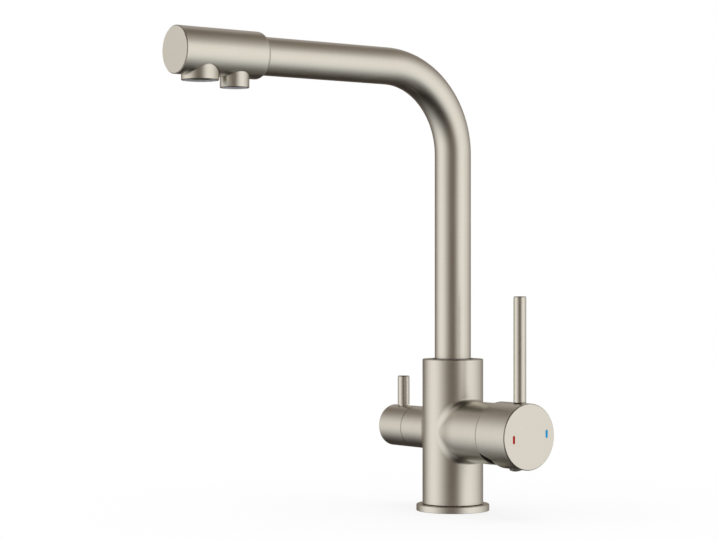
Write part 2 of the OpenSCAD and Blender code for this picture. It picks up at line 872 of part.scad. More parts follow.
// Fine groove in the head's surface round an outlet boss
module boss_groove(reach, r) {
    intersection() {
        translate([0, -reach, 0]) upright_ring(spout_z - head_d, spout_z, r + boss_groove_w, r);
        on_spout() upright_ring(reach - 2 * r, reach + 2 * r, head_r + cut, head_r - boss_groove_depth);
    }
}

module spout_head() {
    round_centre_r = head_r - head_round;
    lip_r = tube_r + 0.1;
    lip_angle = acos((lip_r - round_centre_r) / head_round);
    color(NICKEL) difference() {
        union() {
            on_spout() turned(concat(
                [[0, head_rear - head_round * sin(lip_angle)]],
                arc([round_centre_r, head_rear], head_round, -lip_angle, 0, 8),
                [[head_r, head_front], [0, head_front]]
            ));
            outlet_boss(main_reach, main_rim, main_r);
            outlet_boss(filter_reach, filter_rim, filter_outlet_r);
        }
        on_spout() upright(head_rear - 2 * head_round, tube_end + loose_gap, tube_r + seat_gap);
        on_spout() upright(tube_end, head_front + cut, head_wall_r);
        boss_groove(main_reach, main_r);
        boss_groove(filter_reach, filter_outlet_r);
        translate([0, -main_reach, 0]) {
            upright(main_rim - cut, main_seat, main_bore_r);
            upright(main_seat - cut, main_seat + passage_h, main_bore_r - passage_step);
        }
        translate([0, -filter_reach, 0]) {
            upright(filter_rim - cut, filter_seat, filter_bore_r);
            upright(filter_seat - cut, filter_seat + passage_h, elbow_leg_r + 2 * seat_gap);
        }
    }
}

module head_end_cap() {
    rear = head_front - cap_spigot;
    pocket_top = head_front - 0.6;
    pocket_r = head_wall_r - 3;
    color(NICKEL) on_spout() difference() {
        turned([
            [0, rear], [head_wall_r - seat_gap, rear], [head_wall_r - seat_gap, head_front],
            [head_r, head_front], [head_r, head_end - edge_chamfer], [head_r - edge_chamfer, head_end],
            [0, head_end]
        ]);
        upright_ring(cap_groove[0], cap_groove[1], head_wall_r + cut, cap_groove_r);
        upright(rear - cut, pocket_top, pocket_r);
    }
}

module head_cap_oring() {
    middle = (cap_groove[0] + cap_groove[1]) / 2;
    color(RUBBER) on_spout() oring(middle, cap_groove_r, cap_oring_section_r);
}

// Round holes on a hexagonal grid, kept inside a circle
module hole_grid(limit, pitch, r, h) {
    rings = ceil(limit / pitch);
    for (a = [-rings:rings], b = [-rings:rings]) {
        place = [pitch * (a + b / 2), pitch * b * sqrt(3) / 2];
        if (norm(place) + r < limit) translate(place) cylinder(h = h, r = r, $fn = 24);
    }
}

// Plain sleeve of an outlet insert, pressed up against its gasket
module insert_sleeve(rim, top, bore_r) {
    upright_ring(rim + insert_set_back, top, bore_r - seat_gap, bore_r - insert_wall);
}

// Perforated screen across an outlet insert
module insert_screen(rim, bore_r, margin, pitch, hole_r) {
    low = rim + screen_set_back;
    screen_r = bore_r - insert_wall - seat_gap;
    difference() {
        upright(low, low + screen_h, screen_r);
        translate([0, 0, low - cut]) hole_grid(screen_r - margin, pitch, hole_r, screen_h + 2 * cut);
    }
}

module aerator_housing() {
    color(GREY_PLASTIC) translate([0, -main_reach, 0])
        insert_sleeve(main_rim, main_seat - main_gasket_h, main_bore_r);
}

module aerator_screen() {
    color(DARK_PLASTIC) translate([0, -main_reach, 0])
        insert_screen(main_rim, main_bore_r, margin = 0.5, pitch = 2.6, hole_r = 0.95);
}

module aerator_gasket() {
    lip = 2.4;
    color(RUBBER) translate([0, -main_reach, 0])
        upright_ring(main_seat - main_gasket_h, main_seat, main_bore_r - 2 * seat_gap, main_bore_r - lip);
}

// Elbow that turns the filtered-water line down into its outlet
module filter_outlet_elbow() {
    body_half = 6;
    socket_depth = 5;
    socket_play = 0.2;
    leg_below_seat = 2.5;
    rear = line_end - socket_depth;
    leg_low = filter_seat - leg_below_seat;
    color(GREY_PLASTIC) difference() {
        union() {
            on_spout() upright(rear, filter_reach + body_half, body_half);
            translate([0, -filter_reach, 0]) upright(leg_low, spout_z, elbow_leg_r);
        }
        on_spout() upright(rear - cut, line_end + socket_play, line_r + seat_gap);
        on_spout() upright(line_end - cut, filter_reach, line_bore_r);
        translate([0, -filter_reach, 0]) upright(leg_low - cut, spout_z, line_bore_r);
    }
}

module filter_outlet_housing() {
    color(GREY_PLASTIC) translate([0, -filter_reach, 0])
        insert_sleeve(filter_rim, filter_seat - filter_gasket_h, filter_bore_r);
}

module filter_outlet_screen() {
    color(DARK_PLASTIC) translate([0, -filter_reach, 0])
        insert_screen(filter_rim, filter_bore_r, margin = 0.4, pitch = 2.2, hole_r = 0.8);
}

module filter_outlet_gasket() {
    color(RUBBER) translate([0, -filter_reach, 0])
        upright_ring(filter_seat - filter_gasket_h, filter_seat, filter_bore_r - 2 * seat_gap,
                     elbow_leg_r + 2 * seat_gap);
}

base_flange();
base_gasket();
body_seal();
body();
cartridge_base();
cartridge_seals();
cartridge_fixed_disc();
cartridge_shell();
cartridge_nut();
cartridge_dome();
filter_valve_body();
filter_fixed_disc();
filter_valve_seal();
filter_valve_oring();
filter_spigot();
spigot_oring();
spout_lock_screw();
spout_wiper();
spout_tube();
spout_journal();
spout_bushes();
spout_orings();
filter_tube();
spout_head();
head_end_cap();
head_cap_oring();
aerator_housing();
aerator_screen();
aerator_gasket();
filter_outlet_elbow();
filter_outlet_housing();
filter_outlet_screen();
filter_outlet_gasket();
cartridge_carrier();
lever_pivot_pin();
cartridge_stem();
mixer_handle();
mixer_lever();
mixer_grub_screw();
mixer_screw_plug();
hot_mark();
cold_mark();
cartridge_moving_disc();
cartridge_driver();
filter_stem();
filter_moving_disc();
filter_handle();
filter_lever();
filter_grub_screw();
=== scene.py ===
import json
from math import asin, atan, cos, pi, radians, sin, sqrt, tau

import bpy
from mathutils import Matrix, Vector


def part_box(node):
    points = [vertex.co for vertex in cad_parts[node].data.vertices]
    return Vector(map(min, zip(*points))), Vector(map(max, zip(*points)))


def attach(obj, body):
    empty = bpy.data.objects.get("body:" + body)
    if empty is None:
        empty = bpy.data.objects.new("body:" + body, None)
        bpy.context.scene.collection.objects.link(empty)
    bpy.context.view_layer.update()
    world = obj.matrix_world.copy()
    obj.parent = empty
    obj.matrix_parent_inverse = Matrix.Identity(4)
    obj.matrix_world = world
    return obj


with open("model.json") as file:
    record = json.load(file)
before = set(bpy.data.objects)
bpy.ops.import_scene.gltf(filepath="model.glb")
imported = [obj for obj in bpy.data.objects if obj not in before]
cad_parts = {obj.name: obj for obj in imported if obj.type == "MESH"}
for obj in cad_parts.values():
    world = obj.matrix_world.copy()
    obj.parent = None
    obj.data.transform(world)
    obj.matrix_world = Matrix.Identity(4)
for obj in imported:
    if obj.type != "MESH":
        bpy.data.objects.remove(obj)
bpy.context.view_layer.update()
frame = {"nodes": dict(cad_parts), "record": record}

MM = 0.001
NODES = frame["nodes"]

# Sizes of the tap, measured in the frame; those in millimetres follow the CAD source
COLUMN_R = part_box("body")[1].y
FILTER_HANDLE_LOW, FILTER_HANDLE_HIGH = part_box("filter_handle")
ARM_Z = (FILTER_HANDLE_LOW.z + FILTER_HANDLE_HIGH.z) / 2
FILTER_ARM_R = FILTER_HANDLE_HIGH.y
ARM_STEP = 0.2 * MM
MIXER_ARM_R = COLUMN_R - ARM_STEP
TUBE_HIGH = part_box("spout_tube")[1]
TUBE_R = TUBE_HIGH.x
SPOUT_Z = TUBE_HIGH.z - TUBE_R
BEND_R = 65 * MM
HEAD_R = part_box("head_end_cap")[1].x


# Node helpers

def new_material(name):
    """An empty node material; returns it and its node tree."""
    mat = bpy.data.materials.new(name)
    mat.use_nodes = True
    mat.node_tree.nodes.clear()
    return mat, mat.node_tree


def add(tree, kind, **values):
    """A node with its settings; a value for a socket is given as in_NAME with spaces as underscores."""
    node = tree.nodes.new("ShaderNode" + kind)
    for key, value in values.items():
        if key.startswith("in_"):
            node.inputs[key[3:].replace("_", " ")].default_value = value
        else:
            setattr(node, key, value)
    return node


def link(tree, source, target):
    tree.links.new(source, target)


def maths(tree, operation, a, b=None):
    """A Math node; a and b are sockets or numbers. Returns its output."""
    node = add(tree, "Math", operation=operation)
    for place, value in enumerate((a, b)):
        if value is None:
            continue
        if isinstance(value, (int, float)):
            node.inputs[place].default_value = value
        else:
            link(tree, value, node.inputs[place])
    return node.outputs[0]


def ramp(tree, factor, low, high, to_low, to_high):
    """Maps a factor smoothly from one range to another, clamped."""
    node = add(tree, "MapRange", clamp=True, interpolation_type="SMOOTHSTEP",
               in_From_Min=low, in_From_Max=high, in_To_Min=to_low, in_To_Max=to_high)
    link(tree, factor, node.inputs["Value"])
    return node.outputs["Result"]


def finish_material(tree, shader):
    out = add(tree, "OutputMaterial")
    link(tree, shader.outputs[0], out.inputs["Surface"])


# Materials of the tap

ORIGIN = (0, 0, 0)
NICKEL_LIGHT = (0.736, 0.718, 0.643, 1)
NICKEL_DARK = (0.686, 0.667, 0.593, 1)
NICKEL_ROUGHNESS = (0.29, 0.37)
STREAK_SCALE = (2600, 90, 90)
STREAK_SHARE = 0.55
CLOUD_SCALE = 38.0
BRUSH_BUMP = 0.10
BUMP_DEPTH = 0.05 * MM
BRANCH_EDGE = 0.5 * MM

# Parts of a noise's range over which a tone and a roughness change
TONE_RANGE = (0.3, 0.7)
GLOSS_RANGE = (0.25, 0.75)

# Fine grain of turned metal inside the tap, and of moulded, glazed or enamelled pieces
TOOL_MARKS = {"scale": 900.0, "detail": 2.0, "bump": 0.12, "spread": (-0.05, 0.08)}
MOULD_GRAIN = {"scale": 1400.0, "detail": 3.0, "bump": 0.15, "spread": (-0.06, 0.06)}


def object_coordinates(tree, centre):
    """Object coordinates measured from a point."""
    coords = add(tree, "TexCoord")
    shift = add(tree, "VectorMath", operation="SUBTRACT")
    link(tree, coords.outputs["Object"], shift.inputs[0])
    shift.inputs[1].default_value = centre
    return shift.outputs[0]


def split(tree, vector):
    """The three parts of a vector."""
    parts = add(tree, "SeparateXYZ")
    link(tree, vector, parts.inputs[0])
    return parts.outputs


def join(tree, x, y, z):
    """A vector from three sockets."""
    vector = add(tree, "CombineXYZ")
    for place, part in enumerate((x, y, z)):
        link(tree, part, vector.inputs[place])
    return vector.outputs[0]


def distance(tree, a, b):
    """Length of the hypotenuse over two sides."""
    squares = maths(tree, "ADD", maths(tree, "MULTIPLY", a, a), maths(tree, "MULTIPLY", b, b))
    return maths(tree, "SQRT", squares)


def axis_parts(tree, axis, centre):
    """Coordinate along an axis, the two across it, and the distance from it."""
    parts = split(tree, object_coordinates(tree, centre))
    along = parts["XYZ".index(axis)]
    a, b = [parts[i] for i in range(3) if "XYZ"[i] != axis]
    return along, a, b, distance(tree, a, b)


def turned_layout(tree, axis, centre):
    """Brushing of a turned part: the way along its profile, then two coordinates across its axis."""
    along, a, b, radius = axis_parts(tree, axis, centre)
    return join(tree, maths(tree, "ADD", along, radius), a, b)


def branched_layout(tree, stem, branch, radius):
    """Brushing of a stem inside a radius about its axis, and of a branch outside it."""
    edge = axis_parts(tree, *stem)[3]
    mix = add(tree, "Mix", data_type="VECTOR")
    link(tree, ramp(tree, edge, radius, radius + BRANCH_EDGE, 0.0, 1.0), mix.inputs["Factor"])
    link(tree, turned_layout(tree, *stem), mix.inputs[4])
    link(tree, turned_layout(tree, *branch), mix.inputs[5])
    return mix.outputs[1]


def spout_layout(tree):
    """Brushing of the bent tube: the way along its path, then two coordinates across it."""
    x, y, z = split(tree, object_coordinates(tree, (0, -BEND_R, SPOUT_Z - BEND_R)))
    up = maths(tree, "MAXIMUM", z, 0.0)
    back = maths(tree, "MAXIMUM", y, 0.0)
    round_bend = maths(tree, "MULTIPLY", maths(tree, "ARCTAN2", up, back), BEND_R)
    straight = maths(tree, "SUBTRACT", maths(tree, "MINIMUM", z, 0.0), maths(tree, "MINIMUM", y, 0.0))
    return join(tree, maths(tree, "ADD", straight, round_bend), x, distance(tree, up, back))


def satin_nickel(name, layout):
    """Brushed nickel plate; the layout's fine scratches run round the part."""
    mat, tree = new_material(name)
    place = object_coordinates(tree, ORIGIN)

    # Long streaks: the noise changes fast along the profile and slowly round the axis
    stretch = add(tree, "VectorMath", operation="MULTIPLY")
    link(tree, layout(tree), stretch.inputs[0])
    stretch.inputs[1].default_value = STREAK_SCALE
    streaks = add(tree, "TexNoise", in_Scale=1.0, in_Detail=3.0, in_Roughness=0.6)
    link(tree, stretch.outputs[0], streaks.inputs["Vector"])

    # Cloudy change of tone from handling and plating
    cloud = add(tree, "TexNoise", in_Scale=CLOUD_SCALE, in_Detail=4.0, in_Roughness=0.55)
    link(tree, place, cloud.inputs["Vector"])

    tone = add(tree, "MixRGB", blend_type="MIX")
    tone.inputs[1].default_value = NICKEL_DARK
    tone.inputs[2].default_value = NICKEL_LIGHT
    mixed = maths(tree, "ADD", maths(tree, "MULTIPLY", streaks.outputs["Fac"], STREAK_SHARE),
                  maths(tree, "MULTIPLY", cloud.outputs["Fac"], 1 - STREAK_SHARE))
    link(tree, ramp(tree, mixed, *TONE_RANGE, 0.0, 1.0), tone.inputs[0])

    bump = add(tree, "Bump", in_Strength=BRUSH_BUMP, in_Distance=BUMP_DEPTH)
    link(tree, streaks.outputs["Fac"], bump.inputs["Height"])

    shader = add(tree, "BsdfPrincipled", in_Metallic=1.0)
    link(tree, tone.outputs[0], shader.inputs["Base Color"])
    link(tree, ramp(tree, mixed, *GLOSS_RANGE, *NICKEL_ROUGHNESS), shader.inputs["Roughness"])
    link(tree, bump.outputs[0], shader.inputs["Normal"])
    finish_material(tree, shader)
    return mat


def grained(name, light, dark, roughness, grain, **shader_values):
    """A material whose tone, roughness and relief follow a fine grain."""
    mat, tree = new_material(name)
    texture = add(tree, "TexNoise", in_Scale=grain["scale"], in_Detail=grain["detail"])
    link(tree, object_coordinates(tree, ORIGIN), texture.inputs["Vector"])
    tone = add(tree, "MixRGB")
    tone.inputs[1].default_value = dark
    tone.inputs[2].default_value = light
    link(tree, ramp(tree, texture.outputs["Fac"], *TONE_RANGE, 0.0, 1.0), tone.inputs[0])
    bump = add(tree, "Bump", in_Strength=grain["bump"], in_Distance=BUMP_DEPTH)
    link(tree, texture.outputs["Fac"], bump.inputs["Height"])
    shader = add(tree, "BsdfPrincipled", **shader_values)
    link(tree, tone.outputs[0], shader.inputs["Base Color"])
    rough = [roughness + change for change in grain["spread"]]
    link(tree, ramp(tree, texture.outputs["Fac"], *TONE_RANGE, *rough), shader.inputs["Roughness"])
    link(tree, bump.outputs[0], shader.inputs["Normal"])
    finish_material(tree, shader)
    return mat


def machined_metal(name, light, dark, roughness):
    """Turned metal inside the tap, with fine tool marks."""
    return grained(name, light, dark, roughness, TOOL_MARKS, in_Metallic=1.0)


def moulded(name, light, dark, roughness, shine=0.5):
    """Moulded plastic, rubber, enamel or ceramic; shine is the strength of its reflection."""
    return grained(name, light, dark, roughness, MOULD_GRAIN, in_Specular_IOR_Level=shine)


ARM_CENTRE = (0, 0, ARM_Z)
SPOUT_CENTRE = (0, 0, SPOUT_Z)
MIXER_LEVER_LOW, MIXER_LEVER_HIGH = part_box("mixer_lever")
FILTER_LEVER_LOW, FILTER_LEVER_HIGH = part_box("filter_lever")
MIXER_LEVER_CENTRE = ((MIXER_LEVER_LOW.x + MIXER_LEVER_HIGH.x) / 2, 0, 0)
FILTER_LEVER_CENTRE = ((FILTER_LEVER_LOW.x + FILTER_LEVER_HIGH.x) / 2, 0, 0)

COLUMN = ("Z", ORIGIN)
ARMS = ("X", ARM_CENTRE)
SPOUT = ("Y", SPOUT_CENTRE)
NICKEL = {
    "base_flange": lambda tree: turned_layout(tree, *COLUMN),
    "body": lambda tree: branched_layout(tree, COLUMN, ARMS, COLUMN_R),
    "spout_tube": spout_layout,
    "spout_head": lambda tree: branched_layout(tree, SPOUT, COLUMN, HEAD_R),
    "head_end_cap": lambda tree: turned_layout(tree, *SPOUT),
    "mixer_handle": lambda tree: turned_layout(tree, *ARMS),
    "filter_handle": lambda tree: turned_layout(tree, *ARMS),
    "mixer_lever": lambda tree: turned_layout(tree, "Z", MIXER_LEVER_CENTRE),
    "filter_lever": lambda tree: turned_layout(tree, "Z", FILTER_LEVER_CENTRE),
}
MATERIALS = {
    "brass": machined_metal("brass", (0.80, 0.64, 0.34, 1), (0.70, 0.54, 0.26, 1), 0.3),
    "screw_steel": machined_metal("screw_steel", (0.56, 0.56, 0.56, 1), (0.42, 0.42, 0.42, 1), 0.3),
    "rubber": moulded("rubber", (0.05, 0.05, 0.05, 1), (0.03, 0.03, 0.03, 1), 0.7),
    "acetal": moulded("acetal", (0.88, 0.88, 0.86, 1), (0.82, 0.82, 0.80, 1), 0.4),
    "grey_plastic": moulded("grey_plastic", (0.50, 0.49, 0.53, 1), (0.43, 0.42, 0.46, 1), 0.4),
    "dark_plastic": moulded("dark_plastic", (0.075, 0.068, 0.06, 1), (0.05, 0.045, 0.04, 1), 0.45),
    "ceramic": moulded("ceramic", (0.92, 0.91, 0.86, 1), (0.88, 0.87, 0.82, 1), 0.2),
    "hot_red": moulded("hot_red", (0.42, 0.003, 0.005, 1), (0.36, 0.002, 0.004, 1), 0.5, shine=0.1),
    "cold_blue": moulded("cold_blue", (0.004, 0.30, 0.62, 1), (0.003, 0.26, 0.55, 1), 0.5, shine=0.1),
}

# Dark plastic of other shades: the dome's near-black colour and weak reflection are painted shade, standing
# in for the deep shade under the handle's skirt; the plug is a dark grey
OWN_AND_PAINTED_SHADE_MATERIALS = {
    # Painted shade: the dome is coloured near-black for the shade under the skirt
    "cartridge_dome": moulded(
        "dome_painted_shade", (0.014, 0.012, 0.01, 1), (0.01, 0.009, 0.008, 1), 0.6, shine=0.05
    ),
    "mixer_screw_plug": moulded("plug_plastic", (0.13, 0.125, 0.11, 1), (0.11, 0.105, 0.09, 1), 0.45),
}


def dress_nodes():
    """Gives every CAD node its material."""
    for subpart in frame["record"]["subparts"]:
        name = subpart["node"]
        obj = NODES[name]
        if name in NICKEL:
            mat = satin_nickel("satin_nickel_" + name, NICKEL[name])
        elif name in OWN_AND_PAINTED_SHADE_MATERIALS:
            mat = OWN_AND_PAINTED_SHADE_MATERIALS[name]
        else:
            mat = MATERIALS[subpart["material_slot"]]
        obj.data.materials.clear()
        obj.data.materials.append(mat)


dress_nodes()

# Cast fillets where the arms leave the column; the waist's sizes follow the CAD source

MIXER_WAIST_R = 22 * MM
MIXER_WAIST = (8 * MM, 27.5 * MM)
FILLET_SUNK = 1 * MM
FILLET_STEPS = 144
FILLET_ARC_STEPS = 10
HALVINGS = 40

# Fillet radii beside the arm, then above and below it
MIXER_FILLET_R = (14 * MM, 2.5 * MM)
FILTER_FILLET_R = (6 * MM, 3 * MM)


def waisted_arm(reach):
    """Radius and slope of the mixer arm at a reach: two arcs swell its waist out to its full radius."""
    start, end = MIXER_WAIST
    steepest = 2 * atan((MIXER_ARM_R - MIXER_WAIST_R) / (end - start))
    arc_r = (end - start) / (2 * sin(steepest))
    if reach < (start + end) / 2:
        slope = asin(max(reach - start, 0) / arc_r)
        return MIXER_WAIST_R + arc_r * (1 - cos(slope)), slope
    slope = asin(max(end - reach, 0) / arc_r)
    return MIXER_ARM_R - arc_r * (1 - cos(slope)), slope


def straight_arm(reach):
    """Radius and slope of the filter arm, the same at every reach."""
    return FILTER_ARM_R, 0.0


def resting_ball(profile, reach, turn, ball_r):
    """Centre of a ball that rests on an arm: its reach, its place across the arm, the slope there."""
    arm_r, slope = profile(reach)
    from_axis = arm_r + ball_r * cos(slope)
    return reach - ball_r * sin(slope), from_axis * cos(turn), from_axis * sin(turn), slope


def fillet_section(side, profile, ball_r, turn):
    """Points of a ball's groove between column and arm with a sunk point, and outward normals."""
    low = 0.0
    high = COLUMN_R + ball_r
    for _ in range(HALVINGS):
        reach = (low + high) / 2
        x, y, z, slope = resting_ball(profile, reach, turn, ball_r)
        if x * x + y * y < (COLUMN_R + ball_r) ** 2:
            low = reach
        else:
            high = reach
    ball = Vector((side * x, y, ARM_Z + z))
    to_column = Vector((-ball.x, -ball.y, 0)).normalized()
    to_arm = Vector((side * sin(slope), -cos(slope) * cos(turn), -cos(slope) * sin(turn)))
    rays = [to_column.slerp(to_arm, step / FILLET_ARC_STEPS) for step in range(FILLET_ARC_STEPS + 1)]
    middle = to_column.slerp(to_arm, 0.5)
    sunk = ball + middle * (ball_r / middle.dot(to_arm) + FILLET_SUNK)
    return [ball + ray * ball_r for ray in rays] + [sunk], [-ray for ray in rays] + [middle]


def make_fillet(name, side, profile, side_r, top_r):
    """Closed bead round an arm's foot, of one fillet radius beside it and another above and below it."""
    verts = []
    normals = []
    for step in range(FILLET_STEPS):
        turn = tau * step / FILLET_STEPS
        points, outward = fillet_section(side, profile, top_r + (side_r - top_r) * cos(turn) ** 2, turn)
        verts.extend(points)
        normals.extend(outward)
    across = FILLET_ARC_STEPS + 2
    faces = []
    for step in range(FILLET_STEPS):
        here = step * across
        before = (step - 1) % FILLET_STEPS * across
        there = (step + 1) % FILLET_STEPS * across
        for i in range(1, FILLET_ARC_STEPS):
            normal = (verts[there + i] - verts[before + i]).cross(verts[here + i + 1] - verts[here + i - 1])
            facing = 1 if normal.dot(normals[here + i]) > 0 else -1
            normals[here + i] = facing * normal.normalized()
        for i in range(across):
            j = (i + 1) % across
            face = (here + i, here + j, there + j, there + i)
            faces.append(face if side < 0 else face[::-1])
    mesh = bpy.data.meshes.new(name)
    mesh.from_pydata(verts, [], faces)
    mesh.shade_smooth()
    shown = [face.index % across < FILLET_ARC_STEPS for face in mesh.polygons]
    mesh.normals_split_custom_set([
        normals[mesh.loops[i].vertex_index] if shown[face.index] else ORIGIN
        for face in mesh.polygons for i in face.loop_indices
    ])
    mesh.materials.append(NODES["body"].data.materials[0])
    fillet = bpy.data.objects.new(name, mesh)
    bpy.context.scene.collection.objects.link(fillet)
    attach(fillet, "tap_body")


make_fillet("mixer_arm_fillet", 1, waisted_arm, *MIXER_FILLET_R)
make_fillet("filter_arm_fillet", -1, straight_arm, *FILTER_FILLET_R)

# Dark ring in the gap between the mixer lever's foot and the handle: its black rubber colour is painted
# shade, standing in for the contact shadow in the gap; the gap follows the CAD source

FOOT_GAP = 0.4 * MM
RING_INSET = 0.1 * MM
RING_WIDTH = 0.7 * MM
RING_BULGE = 0.1 * MM
RING_CLEARANCE = 0.03 * MM
RING_STEPS = 96
RING_BULGE_STEPS = 6
RING_SHARP = radians(40)


def ring_section(outer):
    """Radius and share of the height of the points round a ring's section, with a bulge on the outside."""
    shares = [step / RING_BULGE_STEPS for step in range(RING_BULGE_STEPS + 1)]
    bulge = [(outer - RING_BULGE * (2 * share - 1) ** 2, share) for share in shares]
    return [(outer - RING_WIDTH, 0.0)] + bulge + [(outer - RING_WIDTH, 1.0)]


def make_painted_shade_ring(name, lever, handle, control):
    """Saddle-shaped dark ring that lies on a round handle and closes the gap under a lever's foot, painting
    the gap's shade.
    """
    low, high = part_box(lever)
    handle_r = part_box(handle)[1].y
    centre_x = (low.x + high.x) / 2
    section = ring_section(high.y - RING_INSET)
    top = ARM_Z + handle_r + FOOT_GAP - RING_CLEARANCE
    verts = []
    for step in range(RING_STEPS):
        turn = tau * step / RING_STEPS
        for radius, share in section:
            y = radius * sin(turn)
            bottom = ARM_Z + sqrt(handle_r ** 2 - y ** 2) + RING_CLEARANCE
            verts.append((centre_x + radius * cos(turn), y, bottom + (top - bottom) * share))
    across = len(section)
    faces = []
    for step in range(RING_STEPS):
        here = step * across
        there = (step + 1) % RING_STEPS * across
        for i in range(across):
            j = (i + 1) % across
            faces.append((here + i, there + i, there + j, here + j))
    mesh = bpy.data.meshes.new(name)
    mesh.from_pydata(verts, [], faces)
    mesh.shade_smooth()
    mesh.set_sharp_from_angle(angle=RING_SHARP)
    # Painted shade: the black rubber colour stands in for the shade in the gap
    mesh.materials.append(MATERIALS["rubber"])
    ring = bpy.data.objects.new(name, mesh)
    bpy.context.scene.collection.objects.link(ring)
    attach(ring, control)


make_painted_shade_ring("mixer_lever_painted_shade_ring", "mixer_lever", "mixer_handle", "mixer_control")

# Camera at the photograph's angle

PHOTO_W = 716
PHOTO_H = 540
CAMERA_PLACE = Vector((1.2128, -0.9851, 0.17783))
CAMERA_TURN = radians(53.61)
FOCAL_PX = 2013.67
HORIZON_PX = 280.47
SENSOR_MM = 36.0


def make_camera():
    data = bpy.data.cameras.new("camera")
    data.sensor_fit = "HORIZONTAL"
    data.sensor_width = SENSOR_MM
    data.lens = FOCAL_PX / PHOTO_W * SENSOR_MM
    data.shift_y = (HORIZON_PX - PHOTO_H / 2) / PHOTO_W
    camera = bpy.data.objects.new("camera", data)
    camera.location = CAMERA_PLACE
    camera.rotation_euler = (pi / 2, 0, CAMERA_TURN)
    bpy.context.scene.collection.objects.link(camera)
    bpy.context.scene.camera = camera


make_camera()

# Studio

WHITE = (1, 1, 1, 1)
FILL_LIGHT = 0.7
TENT_R = 4.0
FLOOR_R = 3.6
FLOOR_STEPS = 96
FLOOR_PALE = (0.86, 0.86, 0.86, 1)

# The floor turns white between two distances from the tap, from the first share to the second
FLOOR_FADE = {"distance": (0.03, 0.4), "share": (0.8, 1.0)}


def background_rays(tree):
    """1 for camera, glossy and transmission rays, which see the white background, and 0 for the rest."""
    path = add(tree, "LightPath")
    seen = maths(tree, "MAXIMUM", path.outputs["Is Camera Ray"], path.outputs["Is Glossy Ray"])
    return maths(tree, "MAXIMUM", seen, path.outputs["Is Transmission Ray"])


def make_world():
    """White behind the object, soft fill light on it."""
    world = bpy.data.worlds.new("studio")
    bpy.context.scene.world = world
    world.cycles.sampling_method = "NONE"
    world.use_nodes = True
    tree = world.node_tree
    tree.nodes.clear()
    fill = add(tree, "Background", in_Color=WHITE, in_Strength=FILL_LIGHT)
    white = add(tree, "Background", in_Color=WHITE, in_Strength=1.0)
    mix = add(tree, "MixShader")
    link(tree, background_rays(tree), mix.inputs[0])
    link(tree, fill.outputs[0], mix.inputs[1])
    link(tree, white.outputs[0], mix.inputs[2])
    out = add(tree, "OutputWorld")
    link(tree, mix.outputs[0], out.inputs["Surface"])


def make_floor():
    """Pale round floor that keeps the object's shadow near it and fades to white further out."""
    mesh = bpy.data.meshes.new("floor")
    turns = [tau * step / FLOOR_STEPS for step in range(FLOOR_STEPS)]
    ring = [(FLOOR_R * cos(turn), FLOOR_R * sin(turn), 0) for turn in turns]
    mesh.from_pydata(ring, [], [list(range(FLOOR_STEPS))])
    floor = bpy.data.objects.new("floor", mesh)
    bpy.context.scene.collection.objects.link(floor)
    mat, tree = new_material("pale_floor")
    place = object_coordinates(tree, ORIGIN)
    far = add(tree, "VectorMath", operation="LENGTH")
    link(tree, place, far.inputs[0])
    fade = ramp(tree, far.outputs["Value"], *FLOOR_FADE["distance"], *FLOOR_FADE["share"])
    pale = add(tree, "BsdfDiffuse", in_Color=FLOOR_PALE)
    glow = add(tree, "Emission", in_Color=WHITE, in_Strength=1.0)
    mix = add(tree, "MixShader")
    link(tree, maths(tree, "MULTIPLY", fade, background_rays(tree)), mix.inputs[0])
    link(tree, pale.outputs[0], mix.inputs[1])
    link(tree, glow.outputs[0], mix.inputs[2])
    finish_material(tree, mix)
    mesh.materials.append(mat)
    floor.visible_glossy = False


# Bright cloth of the light tent. Turn is the azimuth from the camera's side, to its right, in degrees: the
# cloth brightens from the first to the second value and dims from the third to the fourth. Height is the sine
# of the elevation, in the same order.
BRIGHT_CLOTH = (
    {"turn": (-150, -86, -75, -10), "height": (-1.05, -0.15, 0.15, 1.0), "level": 0.92},
    {"turn": (6, 46, 58, 170), "height": (-1.1, -0.35, 0.36, 1.0), "level": 0.91},
)
DARK_CLOTH_COLOUR = (1.0, 0.82, 0.69, 1)
DARK_CLOTH_LEVEL = {"below": 0.04, "level": 0.2, "above": 0.24}
DARK_CLOTH_LOW = (-0.65, 0.05)
DARK_CLOTH_HIGH = (0.2, 0.9)
BACK_OPENING = {"turn": (150, 176), "height": (0.1, 0.5), "level": 0.28}

# Black cards above and below the camera's side, and over the top and the bottom all round. The one below is
# weaker: its strength falls to a share of the level between two heights.
BLACK_CARDS = {"turn": (50, 75), "height": (0.4, 0.72), "top": (0.88, 0.98), "level": 0.95}
LOWER_CARD = {"height": (-0.1, 0.1), "share": 0.5}


def tent_mesh():
    """Sphere of quads round the set."""
    mesh = bpy.data.meshes.new("light_tent")
    around = 64
    up = 32
    verts = []
    for j in range(up + 1):
        high = -pi / 2 + pi * j / up
        for i in range(around):
            turn = tau * i / around
            aim = Vector((cos(high) * cos(turn), cos(high) * sin(turn), sin(high)))
            verts.append(aim * TENT_R)
    faces = []
    for j in range(up):
        for i in range(around):
            k = (i + 1) % around
            here = j * around
            above = here + around
            faces.append((here + i, here + k, above + k, above + i))
    mesh.from_pydata(verts, [], faces)
    return mesh


def band(tree, factor, start, full, wane, end):
    """Rises from 0 to 1 and falls back to 0 along a factor."""
    rise = ramp(tree, factor, start, full, 0.0, 1.0)
    fall = ramp(tree, factor, wane, end, 1.0, 0.0)
    return maths(tree, "MULTIPLY", rise, fall)


